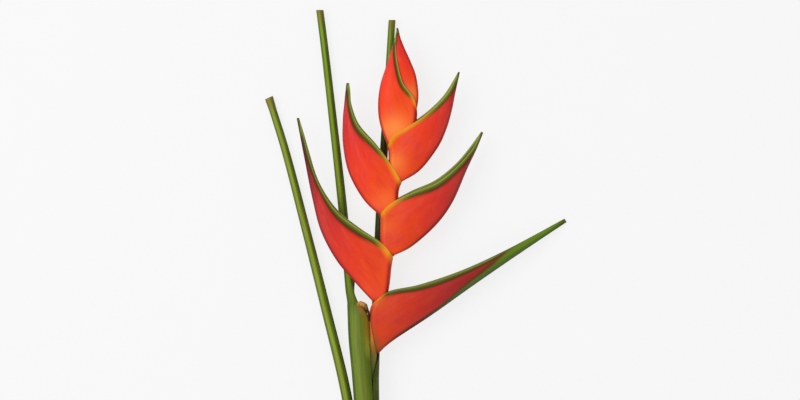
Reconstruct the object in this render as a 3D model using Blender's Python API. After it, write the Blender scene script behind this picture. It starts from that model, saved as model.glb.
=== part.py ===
"""A cut heliconia flower, lying on a surface.

The stem runs along Y with the bloom towards +Y, and the bloom's two ranks of bracts spread
along X. The surface that it lies on is z = 0. Points and sizes are in millimetres and are
turned into metres when a mesh is made.
"""

import math

import bmesh
import bpy
import numpy as np
from mathutils import Vector

MILLIMETRE = 0.001
SHARP_ANGLE = math.radians(50)

# Stem and rachis. The flower stalk lies off the stem's axis, because the sheaths are thick on
# one side, and it is round in the stem and flatter in the bloom.
STEM_CUT_Y = -152.0
STEM_REST_HEIGHT = 12.2
BLOOM_HEIGHT = 21.0
RISE_START_Y = -60.0
RISE_END_Y = 120.0
STEM_X = -26.8
STEM_LEAN = -0.04
PEDUNCLE_SHIFT_X = 2.0
PEDUNCLE_SHIFT_Z = 0.8
PEDUNCLE_RADIUS = 5.9
PEDUNCLE_END_Y = -10.0
RACHIS_START_Y = 38.0
RACHIS_FLATNESS = 0.88
RACHIS_SIDES = 16
RACHIS_LEVELS = 40
SHEATHED_LEVELS = 5

# Bracts. Shares run from 0 at the keel to 1 at the margin, and places from 0 at the foot to 1
# at the tip.
BRACT_THICKNESS = 1.1
MOST_WALL_SHARE = 0.62
BRACT_SECTIONS = 24
CHEEK_POINTS = 7
KEEL_SHARPNESS = 1.35
CHEEK_FULLNESS = 1.2
LEAN_START_SHARE = 0.55
MARGIN_LEAN = 0.26
KEEL_THICKENING = 1.5
MOST_KEEL_SHARE = 0.45
FOLD_SLIT = 0.25
TIP_HALF_WIDTH = 0.9
WIDEST_PLACE = 0.6
TAPER_START_PLACE = 0.3
TAPER_POWER = 1.25
FLARE_END_PLACE = 0.36
DROOP_POWER = 1.6

# Leaf stalks
ARC_POINTS = 15
LONG_STRETCH = 80.0

# Flower buds
BUD_SECTIONS = 9
BUD_SIDES = 8
BUD_RADIUS = 2.1
BUD_ROOT_RADIUS = 1.0
BUD_SPACING = 5.2
BUD_SEAT = 0.7
BUD_BEND = 12.0
BUD_SWELL_POWER = 0.8
BUD_TIP_TAPER = 0.75
BUD_TIP_SHARE = 0.55

COLOURS = {
    "bract": (0.80, 0.07, 0.02, 1.0),
    "rachis": (0.85, 0.22, 0.04, 1.0),
    "stalk": (0.16, 0.28, 0.02, 1.0),
    "bud": (0.75, 0.72, 0.35, 1.0),
}


def stem_height(y):
    """Height of the stem's axis, which rises from the surface to the bloom."""
    share = np.clip((y - RISE_START_Y) / (RISE_END_Y - RISE_START_Y), 0.0, 1.0)
    return STEM_REST_HEIGHT + (BLOOM_HEIGHT - STEM_REST_HEIGHT) * share * share * (3 - 2 * share)


def stem_x(y):
    """Where the stem's axis is across the picture."""
    return STEM_X + STEM_LEAN * y


def through(points, places):
    """Smooth curve through the points, read at places from 0 at the first to 1 at the last."""
    points = np.array(points, dtype=float)
    last = len(points) - 1
    padded = np.vstack([2 * points[0] - points[1], points, 2 * points[-1] - points[-2]])
    result = []
    for place in np.atleast_1d(places):
        position = min(max(place, 0.0), 1.0) * last
        index = min(int(position), last - 1)
        u = position - index
        before, start, end, after = padded[index:index + 4]
        result.append(0.5 * (2 * start + (end - before) * u
                             + (2 * before - 5 * start + 4 * end - after) * u ** 2
                             + (3 * start - before - 3 * end + after) * u ** 3))
    return np.array(result)


def level_slopes(rows, values):
    """Slope at each row that lets a value pass through the rows without swinging past them."""
    steps = np.diff(values, axis=0) / np.diff(rows)[:, None]
    slopes = np.vstack([steps[:1], np.zeros_like(steps[1:]), steps[-1:]])
    for index in range(1, len(rows) - 1):
        below = steps[index - 1]
        above = steps[index]
        same_way = below * above > 0
        slopes[index][same_way] = 2 * below[same_way] * above[same_way] / (below + above)[same_way]
    return slopes


def along_y(stations, y):
    """Values of a station table at height y, by a smooth step between its rows."""
    stations = np.array(stations, dtype=float)
    rows = stations[:, 0]
    slopes = level_slopes(rows, stations[:, 1:])
    index = int(np.clip(np.searchsorted(rows, y) - 1, 0, len(rows) - 2))
    span = rows[index + 1] - rows[index]
    u = (y - rows[index]) / span
    h00 = 2 * u ** 3 - 3 * u ** 2 + 1
    h10 = u ** 3 - 2 * u ** 2 + u
    h01 = 3 * u ** 2 - 2 * u ** 3
    h11 = u ** 3 - u ** 2
    return (h00 * stations[index, 1:] + h10 * span * slopes[index]
            + h01 * stations[index + 1, 1:] + h11 * span * slopes[index + 1])


def material(name):
    """Plain material in one of the flower's colours."""
    finish = bpy.data.materials.new(name)
    finish.use_nodes = True
    shader = finish.node_tree.nodes["Principled BSDF"]
    shader.inputs["Base Color"].default_value = COLOURS[name]
    shader.inputs["Roughness"].default_value = 0.45
    finish.diffuse_color = COLOURS[name]
    return finish


def add_solid(name, rings, finish, channel=None):
    """Loft of closed rings. With a channel, each ring's second half lines its first half."""
    mesh = bmesh.new()
    rows = []
    for ring in rings:
        rows.append([mesh.verts.new(Vector(point) * MILLIMETRE) for point in ring])
    count = len(rows[0])
    for lower, upper in zip(rows, rows[1:]):
        for index in range(count):
            after = (index + 1) % count
            mesh.faces.new((lower[index], lower[after], upper[after], upper[index]))
    for row in (rows[0], rows[-1]):
        if channel is None:
            mesh.faces.new(row)
            continue
        for index in range(channel - 1):
            mesh.faces.new((row[index], row[index + 1], row[-index - 2], row[-index - 1]))
    bmesh.ops.recalc_face_normals(mesh, faces=mesh.faces)
    bmesh.ops.triangulate(mesh, faces=mesh.faces)
    data = bpy.data.meshes.new(name)
    mesh.to_mesh(data)
    mesh.free()
    data.shade_smooth()
    data.set_sharp_from_angle(angle=SHARP_ANGLE)
    data.materials.append(finish)
    solid = bpy.data.objects.new(name, data)
    bpy.context.collection.objects.link(solid)
    return solid


def cheek(depth, half_width, flare):
    """Outer side of one cheek, as depth from the keel and distance from the fold's plane."""
    points = []
    for share in np.linspace(0.0, 1.0, CHEEK_POINTS):
        rise = math.sin(min(share * CHEEK_FULLNESS, 1.0) * math.pi / 2)
        lean = max(0.0, (share - LEAN_START_SHARE) / (1 - LEAN_START_SHARE))
        across = half_width * rise * (1 - MARGIN_LEAN * lean ** 2) + flare * share
        points.append(np.array((depth * share ** KEEL_SHARPNESS, across)))
    return points


def lining(outer, wall):
    """Inner side of a cheek, one wall inside its outer side."""
    depth = outer[-1][0]
    points = [np.array((min(KEEL_THICKENING * wall, MOST_KEEL_SHARE * depth), 0.0))]
    for index in range(1, len(outer)):
        tangent = outer[min(index + 1, len(outer) - 1)] - outer[index - 1]
        tangent /= np.linalg.norm(tangent)
        along, across = outer[index]
        inner_along = min(along + wall * tangent[1], depth)
        inner_across = max(across - wall * tangent[0], FOLD_SLIT * across)
        points.append(np.array((inner_along, inner_across)))
    return points


def bract_section(keel, margin, half_width, flare):
    """Ring of a folded bract: its outer side, then its inner side back again."""
    depth = np.linalg.norm(margin - keel)
    towards = (margin - keel) / depth
    outer = cheek(depth, half_width, flare)
    inner = lining(outer, min(BRACT_THICKNESS, MOST_WALL_SHARE * half_width))
    rear = np.array((1, -1))
    ring = [point * rear for point in reversed(outer[1:])] + outer
    ring += list(reversed(inner[1:])) + [point * rear for point in inner]
    return [(*(keel + towards * along), across) for along, across in ring]


def add_bract(name, keel_points, margin_points, at_foot, flare, widest, droop, finish):
    """One folded, boat-shaped bract between its keel and its margins."""
    places = np.linspace(0.0, 1.0, BRACT_SECTIONS)
    keels = through(keel_points, places)
    margins = through(margin_points, places)
    rings = []
    for place, keel, margin in zip(places, keels, margins):
        swell = math.sin(math.pi / 2 * min(place / WIDEST_PLACE, 1.0))
        taper = 1 - max(0.0, (place - TAPER_START_PLACE) / (1 - TAPER_START_PLACE)) ** TAPER_POWER
        full = at_foot + (widest - at_foot) * swell
        half_width = TIP_HALF_WIDTH + (full - TIP_HALF_WIDTH) * taper
        spread = flare * max(0.0, 1 - place / FLARE_END_PLACE)
        lift = droop * place ** DROOP_POWER
        rings.append([(x, y, stem_height(y) + lift + across)
                      for x, y, across in bract_section(keel, margin, half_width, spread)])
    return add_solid(name, rings, finish, channel=2 * CHEEK_POINTS - 1)


# Keel and margin of each bract, from its foot on the rachis to its tip, seen from the front.
# The last four values are its half-width at the foot, how much wider its margins stand there,
# its greatest half-width, and how far its tip droops.
BRACTS = {
    "bract_1_right": (
        [(-17.6, 36.2), (-6.4, 47.4), (25.2, 67.8), (57.6, 90.6), (89.6, 112.6), (121, 133.8),
         (133.2, 143.4)],
        [(-20.8, 78.6), (-8.4, 87.2), (15.8, 92.4), (48, 103.2), (80, 118.2), (112, 134.2),
         (132.8, 145.4)],
        6.0, 2.0, 11.0, -20.2),
    "bract_2_left": (
        [(-20.8, 77.4), (-37, 95.2), (-51.2, 112.2), (-63.4, 135.4), (-70.4, 162.2),
         (-77.2, 196.6), (-82.8, 225.6)],
        [(-5.6, 115.2), (-14.4, 125.6), (-32.6, 138), (-50.4, 152.8), (-64.2, 173.6),
         (-72.8, 198.6), (-81, 225.8)],
        5.9, 2.0, 10.0, -3.0),
    "bract_3_right": (
        [(-5.6, 115), (9.6, 123), (29, 140), (42.2, 158.4), (53.4, 183.8), (61.6, 201.2),
         (66.8, 214)],
        [(-16, 148.8), (-6.8, 157.2), (9.4, 167.4), (28, 176), (44, 188.8), (57.4, 204.2),
         (65.4, 214.8)],
        5.9, 2.0, 10.0, -8.0),
    "bract_4_left": (
        [(-14.8, 146.2), (-29, 160), (-40.8, 181.2), (-45.6, 204), (-45.8, 224), (-44.6, 238),
         (-43, 253.6)],
        [(1.6, 174.4), (-7.4, 189.4), (-19.4, 205.4), (-32.6, 220.8), (-38.6, 236.2),
         (-40.4, 246.2), (-41.4, 253.8)],
        5.8, 2.4, 9.5, -4.0),
    "bract_5_right": (
        [(0.4, 173), (15.8, 183.4), (30.2, 201.6), (37.4, 217.4), (41.6, 232), (44.4, 246),
         (48, 262.4)],
        [(-10, 203.2), (-5.2, 212.4), (5, 219), (20.4, 230), (32, 240.8), (40, 251.2),
         (46.8, 262.6)],
        5.7, 4.4, 9.0, -5.0),
    "bract_6_left": (
        [(-9.6, 202.4), (-16, 220.8), (-17.6, 236), (-15.8, 252), (-11.6, 265.6), (-7.4, 278.4),
         (-4.6, 289.6)],
        [(13.6, 233.6), (10.4, 242.4), (2.4, 253.6), (-1.6, 268), (-2.8, 276), (-3.4, 284), (-3.4, 289.8)],
        5.0, 0.4, 8.4, 0.0),
    "bract_7_right": (
        [(13.2, 230.4), (14.8, 244), (12.8, 259.4), (8.6, 270.6), (3.4, 282.2), (0.4, 290),
         (-1.4, 297.4)],
        [(3.4, 240), (2.4, 250), (1.2, 259), (-0.2, 269), (-1.2, 280), (-1.9, 289.6), (-2.4, 297.8)],
        3.9, 0.0, 4.4, 0.0),
}

# One row for each level of the flower stalk and rachis: y, x, and radius in the bloom's plane.
RACHIS = [
    *[(y, stem_x(y) + PEDUNCLE_SHIFT_X, PEDUNCLE_RADIUS)
      for y in (STEM_CUT_Y, RISE_START_Y, PEDUNCLE_END_Y)],
    (14, -24.4, 5.5),
    (38, -22.9, 4.4),
    (56, -21.2, 4.4),
    (68, -19.8, 4.6),
    (74, -18.4, 4.3),
    (80, -15.2, 4.1),
    (88, -13.5, 4.3),
    (100, -12.3, 4.4),
    (116, -12.2, 4.4),
    (126, -11.4, 4.5),
    (140, -10.7, 4.5),
    (148, -8.9, 4.3),
    (158, -7.2, 4.4),
    (168, -6.4, 4.5),
    (176, -6.1, 4.1),
    (200, -4.6, 4.3),
    (206, -1.7, 3.9),
    (216, 2.6, 4.0),
    (226, 6.0, 3.4),
    (235, 7.0, 2.3),
]


def add_rachis(finish):
    """Flower stalk and zigzag rachis, one solid from the cut to the top bract."""
    rings = []
    in_sheaths = np.linspace(RISE_START_Y, PEDUNCLE_END_Y, SHEATHED_LEVELS, endpoint=False)
    in_bloom = np.linspace(PEDUNCLE_END_Y, RACHIS[-1][0], RACHIS_LEVELS)
    levels = np.concatenate([[STEM_CUT_Y], in_sheaths, in_bloom])
    for y in levels:
        x, radius = along_y(RACHIS, y)
        in_stem = np.clip((RACHIS_START_Y - y) / (RACHIS_START_Y - PEDUNCLE_END_Y), 0, 1)
        flatness = RACHIS_FLATNESS + (1 - RACHIS_FLATNESS) * in_stem
        lift = PEDUNCLE_SHIFT_Z * in_stem
        ring = []
        for angle in np.linspace(0, 2 * math.pi, RACHIS_SIDES, endpoint=False):
            ring.append((x + radius * math.cos(angle), y,
                         stem_height(y) + lift + radius * flatness * math.sin(angle)))
        rings.append(ring)
    return add_solid("flower_stalk", rings, finish)


def nested(y, shift, outer, inner, inner_shift, front, rear, facing):
    """Row of a leaf where it wraps the stem."""
    return (y, stem_x(y) + shift, float(stem_height(y)), outer, inner, inner_shift, front, rear, facing)


# One row for each level of a leaf: y, x and z of the centre of its outer side, outer radius,
# inner radius, the inner side's shift away from the back, how far it wraps to the front and
# to the rear, and which way its back faces, in degrees from -X towards the surface.
LEAVES = {
    "leaf_stalk_left": [
        nested(STEM_CUT_Y, -0.9, 12.2, 10.4, 0.9, 150, 150, 0),
        nested(-100, -0.9, 12.2, 10.4, 0.9, 150, 150, 0),
        nested(-74, -0.9, 12.2, 10.4, 0.9, 136, 136, 0),
        (-60, -26.2, 12.2, 11.9, 10.5, 0.7, 90, 84, 4),
        (-53, -30.4, 10.8, 10.0, 8.4, 0.5, 64, 62, 10),
        (-46, -33.4, 8.6, 7.8, 5.4, 0.4, 62, 62, 18),
        (-30, -38.6, 6.4, 4.5, 1.9, 0.8, 100, 100, 20),
        (-10, -41.7, 5.2, 4.0, 1.5, 2.0, 148, 148, 20),
        (5.6, -44.5, 4.7, 3.95, 1.5, 2.0, 150, 150, 15),
        (73.6, -60.6, 4.1, 3.8, 1.5, 2.0, 150, 150, 10),
        (139.2, -76.6, 3.8, 3.6, 1.4, 1.9, 150, 150, 10),
        (200, -92.2, 3.45, 3.4, 1.3, 1.8, 150, 150, 10),
        (242.4, -105.4, 3.2, 3.2, 1.2, 1.7, 150, 150, 10),
    ],
    "leaf_stalk_middle": [
        *[nested(y, 0.0, 10.0, 8.25, 2.0, 116, 112, 0) for y in (STEM_CUT_Y, -60, -45, -30)],
        nested(-15, 0.0, 10.0, 8.25, 2.0, 116, 100, 0),
        (20, -28.6, 15.6, 10.0, 8.4, 1.2, 120, 66, 0),
        (48, -31.4, 16.4, 9.8, 8.5, 0.6, 130, 48, 0),
        (66, -32.7, 16.2, 9.3, 8.2, 0.4, 140, 46, 0),
        (74.5, -33.6, 15.8, 8.7, 7.5, 0.5, 138, 50, 0),
        (79, -36.1, 14.9, 6.3, 4.8, 0.8, 112, 60, 4),
        (88, -39.1, 12.0, 4.8, 2.4, 1.2, 112, 100, 10),
        (102, -41.2, 8.4, 3.9, 1.5, 2.0, 150, 150, 15),
        (125, -43.4, 5.8, 3.8, 1.5, 2.0, 150, 150, 15),
        (152, -45.9, 4.8, 3.7, 1.5, 2.0, 150, 150, 15),
        (229.6, -54.5, 3.9, 3.3, 1.3, 1.8, 150, 150, 15),
        (288, -61.3, 3.5, 3.05, 1.2, 1.7, 150, 150, 15),
        (312.8, -64.5, 3.4, 3.0, 1.2, 1.7, 150, 150, 15),
    ],
    "leaf_stalk_right": [
        *[nested(y, PEDUNCLE_SHIFT_X, 7.9, 6.35, 0.8, 166, 166, 90) for y in (STEM_CUT_Y, -60, -45, -30)],
        nested(-12, PEDUNCLE_SHIFT_X, 7.9, 6.35, 0.8, 156, 156, 90),
        (14, -24.6, 14.6, 7.7, 6.2, 0.6, 110, 110, 90),
        (30, -23.0, 12.6, 6.6, 4.6, 0.2, 84, 84, 90),
        (42, -21.4, 10.0, 5.0, 2.8, 0.4, 86, 86, 90),
        (56, -20.4, 7.4, 4.2, 1.8, 1.2, 116, 116, 90),
        (72, -19.8, 5.9, 3.9, 1.5, 2.0, 150, 150, 90),
        (100, -18.8, 4.8, 3.8, 1.5, 2.0, 150, 150, 90),
        (148, -16, 4.1, 3.6, 1.4, 1.9, 150, 150, 90),
        (208, -12.4, 3.7, 3.2, 1.3, 1.8, 150, 150, 90),
        (272, -8.4, 3.3, 2.85, 1.2, 1.6, 150, 150, 90),
        (304.8, -6.4, 3.1, 2.8, 1.2, 1.6, 150, 150, 90),
    ],
}


def leaf_ring(row, y):
    """Ring of a leaf that wraps the stem or stands free as a channelled stalk."""
    x, z, outer, inner, inner_shift, front, rear, facing = row
    facing = math.radians(facing)
    back = np.array((-math.cos(facing), 0.0, -math.sin(facing)))
    side = np.array((-math.sin(facing), 0.0, math.cos(facing)))
    centre = np.array((x, y, z))
    angles = np.radians(np.linspace(-rear, front, ARC_POINTS))
    ring = [centre + outer * (math.cos(a) * back + math.sin(a) * side) for a in angles]
    inner_centre = centre - inner_shift * back
    ring += [inner_centre + inner * (math.cos(a) * back + math.sin(a) * side) for a in reversed(angles)]
    return ring


def add_leaf(name, stations, finish):
    """A leaf without its blade: the sheath round the stem and the stalk above it, one solid."""
    rows = [row[0] for row in stations]
    levels = []
    for below, above in zip(rows, rows[1:]):
        parts = 2 if above - below < LONG_STRETCH else 3
        levels += list(np.linspace(below, above, parts, endpoint=False))
    levels.append(rows[-1])
    rings = [leaf_ring(along_y(stations, y), y) for y in levels]
    return add_solid(name, rings, finish, channel=ARC_POINTS)


# Which bracts hold buds, which side of the rachis they are on, and how far along the bract,
# from 0 to 1, their tips reach.
BUDS = {
    "bract_1_right": (1, 0.36),
    "bract_2_left": (-1, 0.36),
    "bract_3_right": (1, 0.40),
    "bract_4_left": (-1, 0.40),
    "bract_5_right": (1, 0.42),
}


def add_bud(name, root, bend, tip, finish):
    """One slender flower bud, rounded at its root and pointed at its tip."""
    rings = []
    for place in np.linspace(0.0, 1.0, BUD_SECTIONS):
        centre = root * (1 - place) ** 2 + 2 * bend * place * (1 - place) + tip * place ** 2
        along = (bend - root) * (1 - place) + (tip - bend) * place
        along /= np.linalg.norm(along)
        across = np.array((-along[1], along[0], 0.0))
        across /= np.linalg.norm(across)
        up = np.cross(across, along)
        swell = math.sin(math.pi * place ** BUD_SWELL_POWER)
        radius = BUD_ROOT_RADIUS + (BUD_RADIUS - BUD_ROOT_RADIUS) * swell
        radius *= 1 - BUD_TIP_TAPER * place ** 4
        rings.append([centre + radius * (math.cos(angle) * across + math.sin(angle) * up)
                      for angle in np.linspace(0.0, 2 * math.pi, BUD_SIDES, endpoint=False)])
    return add_solid(name, rings, finish)


def add_buds(bract, side, reach, finish):
    """The two buds in a bract's axil, seated on the rachis."""
    keel_points, margin_points, at_foot, flare, widest, droop = BRACTS[bract]
    foot_y = keel_points[0][1]
    middle_y = foot_y + 0.5 * (margin_points[0][1] - foot_y)
    keel = through(keel_points, reach)[0]
    inside = keel + BUD_TIP_SHARE * (through(margin_points, reach)[0] - keel)
    for label, way in (("front", 1), ("rear", -1)):
        root_y = middle_y + way * BUD_SPACING / 2
        x, radius = along_y(RACHIS, root_y)
        root = np.array((x + side * (radius + BUD_SEAT), root_y, stem_height(root_y)))
        tip_height = stem_height(inside[1]) + droop * reach ** DROOP_POWER + way * BUD_SPACING / 2
        tip = np.array((inside[0], inside[1], tip_height))
        bend = root + np.array((side * BUD_BEND, BUD_BEND / 4, way * BUD_SPACING / 2))
        add_bud(f"{bract}_bud_{label}", root, bend, tip, finish)


def centre_on_origin():
    """Moves the flower so that the origin is below the middle of its box, on the surface."""
    bpy.context.view_layer.update()
    corners = [solid.matrix_world @ Vector(corner)
               for solid in bpy.data.objects for corner in solid.bound_box]
    low = Vector(min(corner[axis] for corner in corners) for axis in range(3))
    high = Vector(max(corner[axis] for corner in corners) for axis in range(3))
    middle = (low + high) / 2
    for solid in bpy.data.objects:
        solid.location = (-middle.x, -middle.y, -low.z)


for old in list(bpy.data.objects):
    bpy.data.objects.remove(old)

finishes = {name: material(name) for name in COLOURS}
add_rachis(finishes["rachis"])
for name, (keel, margin, at_foot, flare, widest, droop) in BRACTS.items():
    add_bract(name, keel, margin, at_foot, flare, widest, droop, finishes["bract"])
for name, (side, reach) in BUDS.items():
    add_buds(name, side, reach, finishes["bud"])
for name, stations in LEAVES.items():
    add_leaf(name, stations, finishes["stalk"])
centre_on_origin()
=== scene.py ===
"""Looks of a cut heliconia flower that lies on a pale surface.

Shapes are worked out in the drawing frame of the solids, in millimetres: x and y in the
picture's plane and z up from the surface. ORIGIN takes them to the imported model's frame.
"""

import math

import bpy
import numpy as np
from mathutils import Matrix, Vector


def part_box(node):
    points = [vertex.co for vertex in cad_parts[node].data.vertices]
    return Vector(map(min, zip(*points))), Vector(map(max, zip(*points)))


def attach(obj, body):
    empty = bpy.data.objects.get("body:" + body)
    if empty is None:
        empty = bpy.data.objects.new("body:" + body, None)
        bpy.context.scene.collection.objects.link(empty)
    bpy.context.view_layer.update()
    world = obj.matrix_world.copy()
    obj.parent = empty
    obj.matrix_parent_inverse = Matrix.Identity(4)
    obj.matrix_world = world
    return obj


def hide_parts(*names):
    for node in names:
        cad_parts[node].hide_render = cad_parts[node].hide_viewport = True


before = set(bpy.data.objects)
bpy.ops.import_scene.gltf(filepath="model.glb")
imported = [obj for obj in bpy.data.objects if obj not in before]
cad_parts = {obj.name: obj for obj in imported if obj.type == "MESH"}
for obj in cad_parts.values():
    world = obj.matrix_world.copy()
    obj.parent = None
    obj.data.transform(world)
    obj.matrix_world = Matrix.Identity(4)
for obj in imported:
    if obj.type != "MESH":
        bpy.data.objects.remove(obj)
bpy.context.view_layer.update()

MILLIMETRE = 0.001
TINY = 1e-9

# Two ends of solids in the drawing frame, in metres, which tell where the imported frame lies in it
TIP_OF_BRACT_1 = 0.1332
TOP_OF_MIDDLE_STALK = 0.3128
ORIGIN = np.array((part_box("bract_1_right")[1].x - TIP_OF_BRACT_1,
                   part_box("leaf_stalk_middle")[1].y - TOP_OF_MIDDLE_STALK, 0.0))

# Stem and rachis
STEM_CUT_Y = -152.0
STEM_REST_HEIGHT = 12.2
BLOOM_HEIGHT = 21.0
RISE_START_Y = -60.0
RISE_END_Y = 120.0
STEM_X = -26.8
STEM_LEAN = -0.04
PEDUNCLE_SHIFT_X = 2.0
PEDUNCLE_SHIFT_Z = 0.8
PEDUNCLE_RADIUS = 5.9
PEDUNCLE_END_Y = -10.0
PEDUNCLE_LEVELS = 40
RACHIS_START_Y = 38.0
RACHIS_FLATNESS = 0.86
RACHIS_SIDES = 56
RACHIS_LEVELS = 300
RACHIS_PATTERN_RADIUS = 5.0

# Bracts. A place is a share of the way from foot to tip. A pair of values is where something
# sets in and where it is full, and runs backwards where it fades instead. The three limits are
# shares: of the half-width, of the outer skin's way across and of the depth.
BRACT_LEVELS = 160
BRACT_CROWDING = 1.4
ROOT_POINTS = 60
OUTER_POINTS = 36
INNER_POINTS = 14
RIM_POINTS = 5
WALL = 1.0
WALL_LIMIT = 0.55
INNER_LIMIT = 0.22
DEPTH_LIMIT = 0.5
RIM_THICKENING = 0.45
RIM_REACH = 1.6
RIM_OVERHANG = 0.7
OVERHANG_PLACES = (1.0, 0.7)
BULGE_PLACES = (0.04, 0.5)
BULGE_END_PLACES = (1.0, 0.8)
KEEL_SHARPNESS = 1.35
CHEEK_FULLNESS = 1.2
LEAN_START_SHARE = 0.55
MARGIN_LEAN = 0.26
TIP_HALF_WIDTH = 0.8
WIDEST_PLACE = 0.6
TAPER_START_PLACE = 0.3
TAPER_POWER = 1.25
DROOP_POWER = 1.6
ROOT_BOW_END = 0.4
FOOT_ROUND_START = 3.0
FOOT_ROUND_END = 22.0
FOOT_FLATNESS = 0.77
FOOT_RISE = 1.5
FOOT_RADIUS = 4.6

# Marks that place the colours of a bract
PATTERN_STEP = 190.0
LINING_PATTERN_SHIFT = 20.0
LINING_KEEL = 9.0
RIM_INNER = 0.4
NEAR_SIDE_SLACK = 1e-6
BAND_SWELL = 0.9
BAND_SWELL_REACH = 24.0
BAND_PLACES = (1.06, 0.94)
SLIM_PLACES = (0.35, 0.7)
TIP_BAND = 12.0
TIP_BAND_PLACES = (0.9, 1.0)
KEEL_BAND_PLACES = (0.24, 0.6)
KEEL_BAND_GROWTH = 2.0
KEEL_BAND_GROWTH_PLACES = (0.55, 0.84)
KEEL_BAND_LEAST = 0.01
TIP_KEEL_BAND = 1.2
TIP_KEEL_BAND_PLACES = (0.88, 0.98)
DARK_END_LENGTH = 0.26
ROOT_SHADE_REACH = (3.4, 0.8)
OLIVE_REACH = 3.0
OLIVE_GROWTH = 4.0
OLIVE_GROWTH_Y = (60.0, 40.0)
OLIVE_Y = (76.0, 52.0)

# Buds
BUD_LEVELS = 40
BUD_SIDES = 24
BUD_RADIUS = 2.1
BUD_ROOT_RADIUS = 1.0
BUD_SWELL_POWER = 0.8
BUD_NARROWING = 0.75
BUD_NARROWING_POWER = 4
BUD_RIBS = 3
BUD_RIB_HEIGHT = 0.05
BUD_SPACING = 5.2
BUD_BEND = 12.0
BUD_BEND_UP = 3.0
BUD_TIP_SHARE = 0.55
BUD_FINENESS = 0.96
BUD_PATTERN_LENGTH = 30.0
BUD_PATTERN_RADIUS = 2.0

# Leaf stalks
STALK_STEP = 1.5
ARC_POINTS = 64
SLANT_REACH = 12.0
SHEATH_RADII = (4.2, 7.5)
DEEP_FADE = 14.0
INSIDE_PATTERN_SHIFT = 80.0
MOUTH_STAIN_REACH = 9.0
MOUTH_STAIN_ABOVE = 2.2
MOUTH_STAIN_ANGLES = (80.0, 100.0)
NO_MOUTH = 999.0

# Dry mouth of the middle sheath
MOUTH_LEVELS = 70
MOUTH_SIDES = 28
MOUTH_FLATNESS = 0.75
MOUTH_DEEP_WRINKLE = 0.24
MOUTH_DEEP_WAVES = (3, 9, 19)
MOUTH_FINE_WRINKLE = 0.16
MOUTH_FINE_WAVES = (5, -31)
MOUTH_PATTERN_LENGTH = 20.0
MOUTH_PATTERN_RADIUS = 1.5
MOUTH_SHADED_PLACES = (0.3, 0.6)

# Studio, with lengths in metres
FLOOR_HALF_SIZE = 6.0
FLOOR_TONE = 0.13
FLOOR_TONE_SPREAD = 0.01
FLOOR_GLOW = 0.80
SKY_STRENGTH = 0.68
KEY_PLACE = (-1.1, 0.5, 1.5)
KEY_SIZE = 1.2
KEY_POWER = 17.0
WHITE = (1.0, 1.0, 1.0, 1.0)

# The photograph is 800 pixels wide and each is 0.8 mm at the bloom, so it spans 640 mm there
PICTURE_WIDTH = 0.640
PICTURE_CENTRE = (0.0, 0.160)
CAMERA_HEIGHT = 3.0
SENSOR = 36.0


def smooth(low, high, value):
    """Share from 0 at low to 1 at high, easing in and out."""
    share = np.clip((np.asarray(value, dtype=float) - low) / (high - low), 0.0, 1.0)
    return share * share * (3 - 2 * share)


def stem_height(y):
    """Height of the stem's axis, which rises from the surface to the bloom."""
    return STEM_REST_HEIGHT + (BLOOM_HEIGHT - STEM_REST_HEIGHT) * smooth(RISE_START_Y, RISE_END_Y, y)


def stem_x(y):
    """Where the stem's axis is across the picture."""
    return STEM_X + STEM_LEAN * y


def through(points, places):
    """Smooth curve through the points, read at places from 0 at the first to 1 at the last."""
    points = np.array(points, dtype=float)
    last = len(points) - 1
    padded = np.vstack([2 * points[0] - points[1], points, 2 * points[-1] - points[-2]])
    position = np.clip(places, 0.0, 1.0) * last
    index = np.minimum(position.astype(int), last - 1)
    u = (position - index)[:, None]
    before, start, end, after = (padded[index + step] for step in range(4))
    return 0.5 * (2 * start + (end - before) * u
                  + (2 * before - 5 * start + 4 * end - after) * u ** 2
                  + (3 * start - before - 3 * end + after) * u ** 3)


def along_y(stations, y):
    """Values of a station table at levels y, without swinging past its rows."""
    stations = np.array(stations, dtype=float)
    rows = stations[:, 0]
    values = stations[:, 1:]
    steps = np.diff(values, axis=0) / np.diff(rows)[:, None]
    slopes = np.vstack([steps[:1], np.zeros_like(steps[1:]), steps[-1:]])
    below = steps[:-1]
    above = steps[1:]
    same_way = below * above > 0
    slopes[1:-1][same_way] = 2 * below[same_way] * above[same_way] / (below + above)[same_way]
    y = np.atleast_1d(y)
    index = np.clip(np.searchsorted(rows, y) - 1, 0, len(rows) - 2)
    span = (rows[index + 1] - rows[index])[:, None]
    u = (y[:, None] - rows[index][:, None]) / span
    return ((2 * u ** 3 - 3 * u ** 2 + 1) * values[index] + (u ** 3 - 2 * u ** 2 + u) * span * slopes[index]
            + (3 * u ** 2 - 2 * u ** 3) * values[index + 1] + (u ** 3 - u ** 2) * span * slopes[index + 1])


def linear(red, green, blue):
    """A display colour of 0 to 255 as the linear colour that shaders take."""
    shares = (value / 255 for value in (red, green, blue))
    return tuple(share / 12.92 if share < 0.04045 else ((share + 0.055) / 1.055) ** 2.4
                 for share in shares) + (1.0,)


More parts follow.
